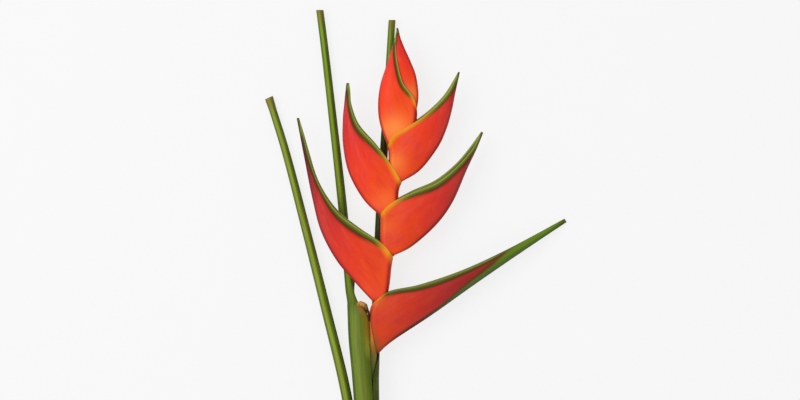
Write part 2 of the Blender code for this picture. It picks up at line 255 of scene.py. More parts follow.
class Graph:
    """Short calls for building a material's nodes.

    A number or colour is given as another node's socket or as a value. In ramp, mix and lay a
    colour's value is its red, green and blue of 0 to 255, as they are on display.
    """

    def __init__(self, name, roughness, specular=0.5):
        self.material = bpy.data.materials.new(name)
        self.material.use_nodes = True
        self.tree = self.material.node_tree
        self.shader = self.tree.nodes["Principled BSDF"]
        self.set("Roughness", roughness)
        self.set("Specular IOR Level", specular)

    def set(self, name, value):
        """Gives the shader one of its inputs."""
        self.link(value, self.shader.inputs[name])

    def link(self, value, socket):
        """Feeds a socket from another socket, or sets it."""
        if isinstance(value, bpy.types.NodeSocket):
            self.tree.links.new(value, socket)
        else:
            socket.default_value = value

    def node(self, kind, *values, **named):
        """New node with values for its first inputs, in order, and for others by name."""
        node = self.tree.nodes.new("ShaderNode" + kind)
        for value, socket in zip(values, node.inputs):
            self.link(value, socket)
        for name, value in named.items():
            self.link(value, node.inputs[name])
        return node

    def read(self, name):
        """Number that the mesh carries at each point."""
        node = self.node("Attribute")
        node.attribute_name = name
        return node.outputs["Fac"]

    def math(self, operation, first, second):
        """Arithmetic on two numbers."""
        node = self.node("Math", first, second)
        node.operation = operation
        return node.outputs[0]

    def add(self, first, second):
        """Sum of two numbers."""
        return self.math("ADD", first, second)

    def times(self, first, second):
        """Product of two numbers."""
        return self.math("MULTIPLY", first, second)

    def ease(self, value, low, high, start=0.0, end=1.0):
        """Smooth step of a number from one range to another."""
        node = self.node("MapRange", value, low, high, start, end)
        node.interpolation_type = "SMOOTHSTEP"
        return node.outputs["Result"]

    def ramp(self, value, stops):
        """Colour ramp through stops of place and colour."""
        node = self.node("ValToRGB", value)
        elements = node.color_ramp.elements
        while len(elements) < len(stops):
            elements.new(0.5)
        for element, (place, colour) in zip(elements, stops):
            element.position = place
            element.color = linear(*colour)
        return node.outputs["Color"]

    def mix(self, share, first, second):
        """A share of the second colour over the first."""
        node = self.node("Mix", share)
        node.data_type = "RGBA"
        for colour, socket in ((first, node.inputs[6]), (second, node.inputs[7])):
            self.link(linear(*colour) if isinstance(colour, tuple) else colour, socket)
        return node.outputs[2]

    def lay(self, base, colour, value, low, high, strength=1.0):
        """Lays a colour over a base where a number is past low, and up to a strength at high."""
        return self.mix(self.ease(value, low, high, 0.0, strength), base, colour)

    def object_point(self):
        """Point in the piece's own space, in metres."""
        return self.node("TexCoord").outputs["Object"]

    def noise_at(self, point, scale=1.0, detail=3.0, roughness=0.55):
        """Cloudy noise at a point."""
        node = self.node("TexNoise", Vector=point, Scale=scale, Detail=detail, Roughness=roughness)
        return node.outputs["Fac"]

    def noise(self, across, along, detail=3.0, roughness=0.55):
        """Cloudy noise on the skin, with a scale for each of the skin's own two directions."""
        point = self.node("CombineXYZ", self.times(self.read("across"), across),
                          self.times(self.read("along"), along)).outputs[0]
        return self.noise_at(point, 1.0, detail, roughness)

    def cells_at(self, point, scale):
        """Distance from a point to the nearest of many scattered ones."""
        return self.node("TexVoronoi", Vector=point, Scale=scale).outputs["Distance"]

    def bump(self, height, strength, distance):
        """Relief on the surface."""
        node = self.node("Bump", Height=height, Strength=strength, Distance=distance)
        self.set("Normal", node.outputs["Normal"])


def add_piece(name, rings, marks, finishes, first_end=True):
    """Closed tube through rings of points, whose ends have the last of the finishes.

    marks are the numbers that the points carry: one for each point, ring, side or piece.
    """
    levels, count = rings.shape[:2]
    points = (rings.reshape(-1, 3) * MILLIMETRE + ORIGIN).tolist()
    faces = []
    for row in range(0, (levels - 1) * count, count):
        for index in range(count):
            after = (index + 1) % count
            faces.append((row + index, row + after, row + count + after, row + count + index))
    sides = len(faces)
    if first_end:
        faces.append(tuple(reversed(range(count))))
    faces.append(tuple(range((levels - 1) * count, levels * count)))
    mesh = bpy.data.meshes.new(name)
    mesh.from_pydata(points, [], faces)
    for mark, values in marks.items():
        layer = mesh.attributes.new(mark, "FLOAT", "POINT")
        whole = np.broadcast_to(np.asarray(values, dtype=np.float32), (levels, count))
        layer.data.foreach_set("value", np.ascontiguousarray(whole).ravel())
    for finish in finishes:
        mesh.materials.append(finish)
    mesh.shade_smooth()
    for face in mesh.polygons[sides:]:
        face.material_index = len(finishes) - 1
        face.use_smooth = False
    mesh.update()
    piece = bpy.data.objects.new(name, mesh)
    bpy.context.collection.objects.link(piece)
    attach(piece, "root")
    return piece


# Bracts: keel and margin as the solids have them, the root where the bract leaves the rachis,
# then half-width at the foot, greatest half-width, droop of the tip, how far the far margin
# stands out beyond the near one, width of the green band, how far from the root the band is
# gold, how much painted shade darkens the keel side, how much the band narrows on its way to
# the tip, where along the bract its end starts to darken, how wide the green along the keel
# grows, and the painted highlight near the root, light orange: its centre, radius and strength.
BRACTS = {
    "bract_1_right": {
        "keel": [(-17.6, 36.2), (-5.8, 46.8), (25.2, 67.6), (57.6, 90.6), (89.6, 112.6), (121, 133.6),
                 (134.2, 142.2)],
        "margin": [(-20.8, 78.6), (-8.4, 87.2), (15.8, 92.4), (48, 103.2), (80.2, 117.6), (112.2, 134),
                   (132.6, 144.8)],
        "root": [(-17.6, 36.8), (-20.8, 42), (-23.2, 50), (-24.2, 60), (-24.2, 68), (-23.2, 74),
                 (-20.8, 78.4)],
        "foot": 5.9, "widest": 11.0, "droop": -20.2, "rise": 0.8, "band": 2.6, "gold": 9.0, "shade": 1.0,
        "slim": 0.5, "dark_from": 0.62, "keel_band": 5.0, "root_highlight": (-18.5, 80, 6, 0.7),
    },
    "bract_2_left": {
        "keel": [(-20.4, 76.9), (-36.6, 94.6), (-51.2, 112.2), (-63.4, 135.4), (-70.4, 162.2),
                 (-77.2, 196.6), (-82.8, 225.6)],
        "margin": [(-5.6, 115.2), (-14.4, 125.6), (-32.6, 138), (-50.4, 152.8), (-64.2, 173.6),
                   (-72.8, 198.6), (-81, 225.8)],
        "root": [(-20.8, 77.6), (-14.5, 78.4), (-10.6, 83), (-9.1, 90), (-8, 100), (-6.9, 109),
                 (-5.6, 115.2)],
        "foot": 5.9, "widest": 10.0, "droop": -3.0, "rise": 1.3, "band": 3.4, "gold": 14.0, "shade": 0.42,
        "slim": 0.6, "dark_from": 0.6, "keel_band": 0.0, "root_highlight": (0, 0, 1, 0.0),
    },
    "bract_3_right": {
        "keel": [(-5, 114.2), (10, 122.3), (29, 140), (42.2, 158.4), (53.4, 183.8), (61.6, 201.2),
                 (66.8, 214)],
        "margin": [(-16, 148.8), (-6.4, 158.6), (9.4, 167.6), (28, 176), (44, 188.8), (57.4, 204.2),
                   (65.4, 214.8)],
        "root": [(-5.6, 115.2), (-11, 116), (-14.8, 120.5), (-15.7, 128), (-15.4, 137),
                 (-15.2, 144.5), (-16, 148.8)],
        "foot": 5.9, "widest": 10.0, "droop": -8.0, "rise": 2.4, "band": 3.2, "gold": 20.0, "shade": 0.4,
        "slim": 0.1, "dark_from": 0.78, "keel_band": 0.0, "root_highlight": (-12, 140, 8, 0.3),
    },
    "bract_4_left": {
        "keel": [(-14.8, 146.2), (-29, 160), (-40.8, 181.2), (-45.6, 204), (-45.8, 224), (-44.6, 238),
                 (-43, 253.6)],
        "margin": [(1.6, 174.4), (-7.4, 189.4), (-19.4, 205.4), (-32.6, 220.8), (-38.6, 236.2),
                   (-39.8, 246.3), (-40.9, 253.8)],
        "root": [(-14.8, 146.4), (-8.5, 147), (-3.6, 151.5), (-1.8, 158), (-1.7, 165), (-0.4, 171),
                 (1.6, 174.4)],
        "foot": 5.8, "widest": 9.5, "droop": -4.0, "rise": 1.3, "band": 3.2, "gold": 24.0, "shade": 0.12,
        "slim": 0.15, "dark_from": 0.7, "keel_band": 0.0, "root_highlight": (-12, 160, 9, 0.35),
    },
    "bract_5_right": {
        "keel": [(1.2, 172), (16.5, 182.6), (30.2, 201.6), (37.4, 217.4), (41.6, 232), (44.4, 246),
                 (48, 262.4)],
        "margin": [(-10, 203.2), (-5.2, 212.4), (5, 219), (20.4, 230), (32, 240.8), (40, 251.2),
                   (46.8, 262.6)],
        "root": [(0, 173.6), (-5.2, 175), (-8.4, 180.5), (-9.0, 188), (-8.7, 195), (-9.0, 200),
                 (-10, 203.2)],
        "foot": 5.7, "widest": 9.0, "droop": -5.0, "rise": 1.3, "band": 3.0, "gold": 37.0, "shade": 0.2,
        "slim": 0.1, "dark_from": 0.78, "keel_band": 0.0, "root_highlight": (-5, 190, 9, 0.8),
    },
    "bract_6_left": {
        "keel": [(-9.6, 202.4), (-16, 220.8), (-17.6, 236), (-15.8, 252), (-11.6, 265.6),
                 (-7.4, 278.4), (-4.6, 289.6)],
        "margin": [(13.6, 233.6), (10.4, 242.4), (2.4, 253.6), (-1.6, 268), (-2.8, 276), (-3.4, 284),
                   (-3.4, 289.8)],
        "root": [(-9.6, 202.4), (-2.5, 202.2), (5.0, 206), (10.4, 213.5), (12.6, 221.5),
                 (13.4, 228.5), (13.6, 233.6)],
        "foot": 5.0, "widest": 8.4, "droop": 0.0, "rise": -1.2, "band": 2.3, "gold": 10.0, "shade": 0.0,
        "slim": 0.0, "dark_from": 0.86, "keel_band": 0.0, "root_highlight": (-4, 217, 12, 1.0),
    },
    "bract_7_right": {
        "keel": [(13.2, 230.4), (14.8, 244), (12.8, 259.4), (8.6, 270.6), (3.4, 282.2), (0.4, 290),
                 (-1.4, 297.4)],
        "margin": [(6, 232), (0, 243), (-4, 256), (-5.6, 268), (-5.4, 279), (-4.2, 289), (-2.6, 297.8)],
        "root": [(13.2, 230.4), (12, 229.9), (10.8, 229.8), (9.6, 230), (8.4, 230.4), (7.2, 231.1),
                 (6, 232)],
        "foot": 2.5, "widest": 4.6, "droop": 0.0, "rise": 0.0, "band": 1.3, "gold": 6.0, "shade": 0.0,
        "slim": 0.0, "dark_from": 0.9, "keel_band": 0.0, "root_highlight": (8.8, 244, 8, 0.7),
    },
}

# One row for each level of the flower stalk and rachis: y, x, and radius in the bloom's plane.
RACHIS = [
    *[(y, stem_x(y) + PEDUNCLE_SHIFT_X, PEDUNCLE_RADIUS)
      for y in (STEM_CUT_Y, RISE_START_Y, PEDUNCLE_END_Y)],
    (14, -24.4, 5.5),
    (38, -22.9, 4.4),
    (56, -21.2, 4.5),
    (68, -19.6, 5.0),
    (74, -18.4, 5.2),
    (78, -16.6, 4.9),
    (84, -14.8, 4.9),
    (90, -13.4, 4.7),
    (100, -12.1, 4.7),
    (109, -11.6, 5.2),
    (114, -11.2, 5.6),
    (120, -11.0, 5.0),
    (137, -10.8, 5.1),
    (144, -10.4, 5.3),
    (148, -10.6, 5.7),
    (152, -7.8, 4.7),
    (158, -6.4, 5.0),
    (165, -6.2, 5.0),
    (171, -5.4, 5.5),
    (174, -4.7, 6.0),
    (180, -4.4, 4.8),
    (195, -4.3, 4.9),
    (200, -4.4, 5.1),
    (203, -4.6, 5.7),
    (208, 1.6, 5.2),
    (214, 5.8, 5.0),
    (221, 8.2, 4.8),
    (228, 9.2, 4.6),
    (233, 9.8, 3.8),
]


def rounding(distance, radius):
    """Height of a rounded edge, from 0 on the edge to 1 at its radius."""
    return np.sqrt(1 - (1 - np.minimum(distance / radius, 1.0)) ** 2)


def distance_to(points, line):
    """Distance from each point to the nearest point of a line."""
    gaps = points[:, :, None, :] - line[None, None]
    return np.sqrt((gaps ** 2).sum(axis=3).min(axis=2))


def rolled(outer_along, outer_across, inner_along, inner_across):
    """Round edge of a margin, between the outer skin's last point and the lining's first."""
    turns = np.linspace(0, math.pi, RIM_POINTS + 2)[1:-1]
    half_along = (outer_along - inner_along) / 2
    half_across = (outer_across - inner_across) / 2
    radius = np.hypot(half_along, half_across)
    along = inner_along + half_along * (1 + np.cos(turns)) + radius * np.sin(turns)
    across = inner_across + half_across * (1 + np.cos(turns))
    return along, across


class Bract:
    """Shape of one folded bract, with its rounded margins, in rows from foot to tip.

    A point of it is told by how far along the fold's depth it is from the keel, in the picture's
    plane, and how far across from that plane.
    """

    def __init__(self, spec):
        self.spec = spec
        self.places = np.linspace(0.0, 1.0, BRACT_LEVELS) ** BRACT_CROWDING
        self.keel = through(spec["keel"], self.places)
        reach = through(spec["margin"], self.places) - self.keel
        self.depth = np.linalg.norm(reach, axis=1)
        self.towards = reach / self.depth[:, None]
        self.root = through(spec["root"], np.linspace(0, 1, ROOT_POINTS))
        swell = np.sin(np.minimum(self.places / WIDEST_PLACE, 1.0) * math.pi / 2)
        late = np.clip((self.places - TAPER_START_PLACE) / (1 - TAPER_START_PLACE), 0, 1)
        full = spec["foot"] + (spec["widest"] - spec["foot"]) * swell
        self.half_width = TIP_HALF_WIDTH + (full - TIP_HALF_WIDTH) * (1 - late ** TAPER_POWER)
        self.lift = spec["droop"] * self.places ** DROOP_POWER
        self.travel = np.concatenate([[0.0], np.cumsum(np.linalg.norm(np.diff(self.keel, axis=0), axis=1))])

    def spread(self, along):
        """Points in the picture's plane for distances from the keel, bowed out to the root."""
        share = np.clip(along / self.depth[:, None], 0, 1)
        straight = self.keel[:, None] + self.towards[:, None] * along[:, :, None]
        first = self.keel[0] + self.towards[0] * (share * self.depth[0])[:, :, None]
        bow = through(self.spec["root"], share.ravel()).reshape(*share.shape, 2) - first
        return straight + bow * (1 - smooth(0.0, ROOT_BOW_END, self.places))[:, None, None]

    def outer_skin(self, stretch):
        """Points of one cheek, whose margin is stretched by some millimetres."""
        shares = np.linspace(0, 1, OUTER_POINTS)
        depth = np.maximum(self.depth + stretch, DEPTH_LIMIT * self.depth)[:, None]
        along = depth * shares ** KEEL_SHARPNESS
        lean = np.clip((shares - LEAN_START_SHARE) / (1 - LEAN_START_SHARE), 0, 1)
        rise = np.sin(np.minimum(shares * CHEEK_FULLNESS, 1.0) * math.pi / 2) * (1 - MARGIN_LEAN * lean ** 2)
        across = self.half_width[:, None] * rise
        points = self.spread(along)
        from_root = distance_to(points, self.root)
        foot_share = 1 - smooth(FOOT_ROUND_START, FOOT_ROUND_END, from_root)
        foot_height = self.spec["foot"] * FOOT_FLATNESS + FOOT_RISE * shares
        round_foot = foot_height * rounding(distance_to(points, self.keel), FOOT_RADIUS)
        across = (across + (round_foot - across) * foot_share) * rounding(from_root, FOOT_RADIUS)
        return along, across

    def lining(self, along, across, from_rim):
        """Points of a cheek's inner skin, a wall's thickness inside each point of the outer one."""
        wall = np.minimum(WALL, WALL_LIMIT * self.half_width)[:, None]
        wall = wall * (1 + RIM_THICKENING * np.exp(-(from_rim / RIM_REACH) ** 2))
        slope_along = np.gradient(along, axis=1)
        slope_across = np.gradient(across, axis=1)
        length = np.hypot(slope_along, slope_across) + TINY
        inner_along = np.minimum(along + wall * slope_across / length, along[:, -1:])
        inner_across = np.maximum(across - wall * slope_along / length, INNER_LIMIT * across)
        inner_across[:, 0] = 0.0
        return inner_along, inner_across

    def side(self, stretch):
        """Outer skin, rim and lining of one cheek, and the marks that follow from their points."""
        along, across = self.outer_skin(stretch)
        steps = np.hypot(np.diff(along, axis=1), np.diff(across, axis=1))
        nothing = np.zeros((BRACT_LEVELS, 1))
        from_rim = np.hstack([np.cumsum(steps[:, ::-1], axis=1)[:, ::-1], nothing])
        from_keel = np.hstack([nothing, np.cumsum(steps, axis=1)])
        girth = from_keel[:, -1:]
        pick = np.round(np.linspace(0, 1, INNER_POINTS) * (OUTER_POINTS - 1)).astype(int)[::-1]
        inner_along, inner_across = (values[:, pick] for values in self.lining(along, across, from_rim))
        inner_from_rim = from_rim[:, pick]
        rim_along, rim_across = rolled(along[:, -1:], across[:, -1:],
                                       inner_along[:, :1], inner_across[:, :1])
        rim = np.zeros_like(rim_along)
        return {
            "along": np.hstack([along, rim_along, inner_along]),
            "across": np.hstack([across, rim_across, inner_across]),
            "rim": np.hstack([from_rim, rim, inner_from_rim]),
            "keel": np.hstack([along, rim_along, np.full_like(inner_along, LINING_KEEL)]),
            "inner": np.hstack([np.zeros_like(along), rim + RIM_INNER, np.ones_like(inner_along)]),
            "skin": np.hstack([from_keel, rim + girth, girth + LINING_PATTERN_SHIFT + inner_from_rim]),
        }


def bract_marks(bract, whole, flat):
    """Numbers that place a bract's colours, from its sides' marks and its points' x and y."""
    spec = bract.spec
    level = bract.places[:, None]
    x = flat[:, :, 0]
    y = flat[:, :, 1]
    from_root = distance_to(flat, bract.root)
    slim = 1 - spec["slim"] * smooth(*SLIM_PLACES, level)
    band = spec["band"] * slim * (1 + BAND_SWELL * smooth(BAND_SWELL_REACH, 0.0, from_root))
    band = band * smooth(*BAND_PLACES, level) + TIP_BAND * smooth(*TIP_BAND_PLACES, level)
    growth = smooth(*KEEL_BAND_PLACES, level) + KEEL_BAND_GROWTH * smooth(*KEEL_BAND_GROWTH_PLACES, level)
    keel_band = spec["keel_band"] * growth + KEEL_BAND_LEAST
    keel_band += TIP_KEEL_BAND * smooth(*TIP_KEEL_BAND_PLACES, level)
    # Painted highlight near the root, light orange, fading out from its centre.
    highlight_x, highlight_y, highlight_radius, highlight_strength = spec["root_highlight"]
    from_highlight = np.hypot(x - highlight_x, y - highlight_y) / highlight_radius
    olive_reach = OLIVE_REACH + OLIVE_GROWTH * smooth(*OLIVE_GROWTH_Y, y)
    return {
        "band": whole["rim"] / band,
        "keel": whole["keel"],
        "keel_band": whole["keel"] / keel_band,
        "inner": whole["inner"],
        "place": level,
        "foot": from_root,
        "gold": from_root / spec["gold"],
        "shade": spec["shade"],
        "end": smooth(spec["dark_from"], spec["dark_from"] + DARK_END_LENGTH, level),
        "across": whole["skin"] * np.sign(whole["across"] + NEAR_SIDE_SLACK),
        "along": bract.travel[:, None],
        "root_highlight": highlight_strength * np.exp(-from_highlight ** 2),
        "olive": np.exp(-(from_root / olive_reach) ** 2) * smooth(*OLIVE_Y, y),
    }


def add_bract(name, spec, pattern_start, finish):
    """One folded bract, whose pattern starts at a place of its own. A left one's root gets painted shade in
    deep red, where it turns away round the rachis.
    """
    bract = Bract(spec)
    bulge = spec["rise"] * smooth(*BULGE_PLACES, bract.places) * smooth(*BULGE_END_PLACES, bract.places)
    overhang = RIM_OVERHANG * smooth(*OVERHANG_PLACES, bract.places)
    near = bract.side(-np.maximum(bulge, 0.0) - overhang)
    far = bract.side(np.minimum(bulge, 0.0) - overhang)
    far["across"] = -far["across"]
    whole = {key: np.hstack([near[key], far[key][:, ::-1][:, 1:-1]]) for key in near}
    flat = bract.spread(whole["along"])
    z = stem_height(flat[:, :, 1]) + bract.lift[:, None] + whole["across"]
    marks = bract_marks(bract, whole, flat)
    marks["along"] = marks["along"] + pattern_start
    # Painted shade on a left bract's root, where it turns away round the rachis.
    marks["root_shade"] = smooth(*ROOT_SHADE_REACH, marks["foot"]) * name.endswith("left")
    piece = add_piece(name + "_skin", np.dstack([flat, z]), marks, [finish], first_end=False)
    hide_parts(name)


# Which bracts hold buds, which side of the rachis they are on, and how far along the bract,
# from 0 to 1, their tips reach.
BUDS = {
    "bract_1_right": (1, 0.36),
    "bract_2_left": (-1, 0.36),
    "bract_3_right": (1, 0.40),
    "bract_4_left": (-1, 0.40),
    "bract_5_right": (1, 0.42),
}


def add_bud(name, root, bend, tip, finish):
    """One slender flower bud: a ribbed tube that narrows to a curved point."""
    rings = []
    around = np.linspace(0, 2 * math.pi, BUD_SIDES, endpoint=False)
    places = np.linspace(0, 1, BUD_LEVELS)
    for place in places:
        centre = root * (1 - place) ** 2 + 2 * bend * place * (1 - place) + tip * place ** 2
        along = (bend - root) * (1 - place) + (tip - bend) * place
        along /= np.linalg.norm(along)
        across = np.array((-along[1], along[0], 0.0))
        across /= np.linalg.norm(across)
        up = np.cross(across, along)
        swell = math.sin(math.pi * place ** BUD_SWELL_POWER)
        radius = BUD_ROOT_RADIUS + (BUD_RADIUS - BUD_ROOT_RADIUS) * swell
        radius *= (1 - BUD_NARROWING * place ** BUD_NARROWING_POWER) * BUD_FINENESS
        ribbed = (radius * (1 + BUD_RIB_HEIGHT * np.cos(BUD_RIBS * around)))[:, None]
        rings.append(centre + ribbed * (np.cos(around)[:, None] * across + np.sin(around)[:, None] * up))
    marks = {
        "along": (places * BUD_PATTERN_LENGTH)[:, None],
        "across": around * BUD_PATTERN_RADIUS,
    }
    piece = add_piece(name + "_skin", np.array(rings), marks, [finish])
    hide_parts(name)


def add_buds(bract_name, side, reach, finish):
    """The two buds in a bract's axil, seated on the rachis."""
    spec = BRACTS[bract_name]
    middle_y = (spec["keel"][0][1] + spec["margin"][0][1]) / 2
    keel, margin = (through(spec[edge], np.array([reach]))[0] for edge in ("keel", "margin"))
    tip_x, tip_y = keel + BUD_TIP_SHARE * (margin - keel)
    droop = spec["droop"] * reach ** DROOP_POWER
    for label, way in (("front", 1), ("rear", -1)):
        shift = way * BUD_SPACING / 2
        root_y = middle_y + shift
        x, radius = along_y(RACHIS, root_y)[0]
        root = np.array((x + side * radius, root_y, float(stem_height(root_y))))
        tip = np.array((tip_x, tip_y, float(stem_height(tip_y)) + droop + shift))
        bend = root + np.array((side * BUD_BEND, BUD_BEND_UP, shift))
        add_bud(f"{bract_name}_bud_{label}", root, bend, tip, finish)


def add_rachis(finish, cut):
    """Flower stalk and zigzag rachis."""
    levels = np.concatenate([np.linspace(STEM_CUT_Y, PEDUNCLE_END_Y, PEDUNCLE_LEVELS, endpoint=False),
                             np.linspace(PEDUNCLE_END_Y, RACHIS[-1][0], RACHIS_LEVELS)])
    x, radius = along_y(RACHIS, levels).T
    in_stem = np.clip((RACHIS_START_Y - levels) / (RACHIS_START_Y - PEDUNCLE_END_Y), 0, 1)
    flatness = RACHIS_FLATNESS + (1 - RACHIS_FLATNESS) * in_stem
    height = stem_height(levels) + PEDUNCLE_SHIFT_Z * in_stem
    angles = np.linspace(0, 2 * math.pi, RACHIS_SIDES, endpoint=False)
    rings = np.stack([x[:, None] + radius[:, None] * np.cos(angles),
                      np.repeat(levels[:, None], RACHIS_SIDES, axis=1),
                      height[:, None] + (radius * flatness)[:, None] * np.sin(angles)], axis=2)
    marks = {
        "along": levels[:, None],
        "across": angles * RACHIS_PATTERN_RADIUS,
        # edge leads the painted shade on the rachis's sides.
        "edge": np.abs(np.cos(angles)),
        "right": np.cos(angles),
    }
    piece = add_piece("flower_stalk_skin", rings, marks, [finish, cut])
    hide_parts("flower_stalk")


def nested(y, shift, outer, inner, inner_shift, front, rear, facing):
    """Row of a leaf where it wraps the stem."""
    return (y, stem_x(y) + shift, float(stem_height(y)), outer, inner, inner_shift, front, rear, facing)


# One row for each level of a leaf: y, x and z of the centre of its outer side, outer radius,
# inner radius, the inner side's shift away from the back, how far it wraps to the front and
# to the rear, and which way its back faces, in degrees from -X towards the surface.
LEAVES = {
    "leaf_stalk_left": [
        nested(STEM_CUT_Y, -0.9, 12.2, 10.4, 0.9, 150, 150, 0),
        nested(-100, -0.9, 12.2, 10.4, 0.9, 150, 150, 0),
        nested(-74, -0.9, 12.2, 10.4, 0.9, 136, 136, 0),
        (-60, -26.2, 12.2, 11.9, 10.5, 0.7, 90, 84, 4),
        (-53, -30.4, 10.8, 10.0, 8.4, 0.5, 64, 62, 10),
        (-46, -33.4, 8.6, 7.8, 5.4, 0.4, 62, 62, 18),
        (-30, -38.6, 6.4, 4.5, 1.9, 0.8, 100, 100, 20),
        (-10, -40.8, 5.2, 4.3, 1.8, 2.0, 148, 148, 20),
        (5.6, -43.5, 4.7, 4.3, 1.8, 2.0, 150, 150, 15),
        (73.6, -59.8, 4.2, 4.1, 1.7, 2.0, 150, 150, 10),
        (139.2, -76.3, 3.8, 3.7, 1.5, 1.9, 150, 150, 10),
        (200, -92.2, 3.45, 3.4, 1.3, 1.8, 150, 150, 10),
        (242.4, -105.4, 3.2, 3.2, 1.2, 1.7, 150, 150, 10),
    ],
    "leaf_stalk_middle": [
        *[nested(y, 0.0, 10.0, 8.25, 2.0, 116, 112, 0) for y in (STEM_CUT_Y, -60, -45, -30)],
        nested(-15, 0.0, 10.0, 8.25, 2.0, 118, 100, 0),
        (20, -28.6, 15.6, 10.0, 8.4, 1.2, 124, 66, 0),
        (48, -31.4, 16.4, 9.8, 8.5, 0.6, 134, 48, 0),
        (66, -32.7, 16.2, 9.3, 8.2, 0.4, 144, 46, 0),
        (74.5, -33.6, 15.8, 8.7, 7.5, 0.5, 142, 50, 0),
        (79, -36.1, 14.9, 6.3, 4.8, 0.8, 112, 60, 4),
        (88, -38.7, 12.0, 5.1, 2.6, 1.2, 112, 100, 10),
        (102, -41.0, 8.4, 4.1, 1.7, 2.0, 150, 150, 15),
        (125, -43.4, 5.8, 3.8, 1.5, 2.0, 150, 150, 15),
        (152, -45.9, 4.8, 3.7, 1.5, 2.0, 150, 150, 15),
        (229.6, -54.5, 3.9, 3.3, 1.3, 1.8, 150, 150, 15),
        (288, -61.3, 3.5, 3.05, 1.2, 1.7, 150, 150, 15),
        (312.8, -64.5, 3.4, 3.0, 1.2, 1.7, 150, 150, 15),
    ],
    "leaf_stalk_right": [
        *[nested(y, PEDUNCLE_SHIFT_X, 7.9, 6.35, 0.8, 166, 166, 90) for y in (STEM_CUT_Y, -60, -45, -30)],
        nested(-12, PEDUNCLE_SHIFT_X, 7.9, 6.35, 0.8, 156, 156, 90),
        (14, -24.6, 14.6, 7.8, 6.7, 0.3, 110, 156, 90),
        (28, -23.5, 14.4, 7.0, 6.0, 0.2, 90, 138, 90),
        (38, -21.9, 11.4, 5.6, 3.9, 0.3, 86, 104, 90),
        (56, -20.4, 7.4, 4.2, 1.8, 1.2, 130, 130, 90),
        (72, -18.9, 5.9, 3.9, 0.8, 2.7, 170, 170, 90),
        (100, -18.0, 4.8, 3.8, 0.6, 3.0, 175, 175, 90),
        (148, -16, 4.1, 3.6, 0.5, 2.9, 176, 176, 90),
        (208, -12.4, 3.7, 3.2, 0.5, 2.5, 176, 176, 90),
        (272, -8.4, 3.3, 2.85, 0.4, 2.3, 176, 176, 90),
        (304.8, -6.4, 3.1, 2.8, 0.4, 2.2, 176, 176, 90),
    ],
}


# How much each stalk's top is cut aslant, where its sheath's dry mouth is, how strong the painted
# highlight on its pale ridge is, and the stretches that lie in the shade of the rest, with the darkness of
# their painted shadow.
LEAF_DETAILS = {
    "leaf_stalk_left": (0.45, NO_MOUTH, 0.9, [(-152.0, -90.0, 0.1)]),
    "leaf_stalk_middle": (0.0, 76.0, 0.2, [(78.0, 150.0, 0.25)]),
    "leaf_stalk_right": (0.0, NO_MOUTH, 0.4, [(-152.0, 60.0, 0.35), (60.0, 215.0, 0.85)]),
}


def arc(centre, radius, angles, back, side):
    """Rings of points round a centre at angles from the back towards the side."""
    return centre[:, None] + radius[:, None, None] * (np.cos(angles)[:, :, None] * back[:, None]
                                                      + np.sin(angles)[:, :, None] * side[:, None])


def add_leaf(name, stations, details, finish, cut):
    """A leaf without its blade: the sheath round the stem and the channelled stalk above it."""
    slope, mouth, pale, shaded = details
    first = stations[0][0]
    last = stations[-1][0]
    levels = np.linspace(first, last, int((last - first) / STALK_STEP))
    x, z, outer, inner, inner_shift, front, rear, facing = along_y(stations, levels).T
    facing = np.radians(facing)
    angles = np.radians(-rear[:, None] + (front + rear)[:, None] * np.linspace(0, 1, ARC_POINTS))
    nothing = np.zeros_like(facing)
    back = np.stack([-np.cos(facing), nothing, -np.sin(facing)], axis=1)
    side = np.stack([-np.sin(facing), nothing, np.cos(facing)], axis=1)
    centre = np.stack([x, levels, z], axis=1)
    outside = arc(centre, outer, angles, back, side)
    inside = arc(centre - inner_shift[:, None] * back, inner, angles[:, ::-1], back, side)
    rings = np.concatenate([outside, inside], axis=1)
    from_middle = rings[:, :, 0] - x[:, None]
    rings[:, :, 1] += slope * smooth(SLANT_REACH, 0.0, last - levels)[:, None] * from_middle

    stain_reach = np.where(levels > mouth, MOUTH_STAIN_ABOVE, MOUTH_STAIN_REACH)
    stain = np.exp(-((levels - mouth) / stain_reach) ** 2)[:, None]
    stain = stain * smooth(*MOUTH_STAIN_ANGLES, np.degrees(angles))
    # Painted shadow on the stretches that lie in the shade of the rest.
    deep = sum(darkness * smooth(low - DEEP_FADE, low, levels) * smooth(high + DEEP_FADE, high, levels)
               for low, high, darkness in shaded)
    marks = {
        "along": levels[:, None],
        "across": np.hstack([angles * outer[:, None],
                             angles[:, ::-1] * inner[:, None] + INSIDE_PATTERN_SHIFT]),
        "sideways": from_middle / outer[:, None],
        "inner": np.hstack([np.zeros_like(angles), np.ones_like(angles)]),
        "sheath": smooth(*SHEATH_RADII, outer)[:, None],
        "top": (last - levels)[:, None],
        "mouth": np.hstack([stain, stain[:, ::-1]]),
        "deep": deep[:, None],
        "pale": pale,
    }
    piece = add_piece(name + "_skin", rings, marks, [finish, cut])
    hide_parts(name)


# The dry, rolled edge at the mouth of the middle sheath: x, y, z and radius.
MOUTH = [
    (-34.8, 74.6, 22.8, 0.5),
    (-33.6, 76.2, 23.8, 1.2),
    (-31.6, 77.0, 24.4, 1.7),
    (-29.4, 76.4, 24.6, 1.9),
    (-27.6, 74.2, 24.2, 1.8),
    (-26.2, 71.2, 23.6, 1.5),
    (-25.2, 68.2, 23.0, 1.1),
    (-24.8, 65.2, 22.4, 0.7),
    (-25.2, 62.0, 21.8, 0.3),
]


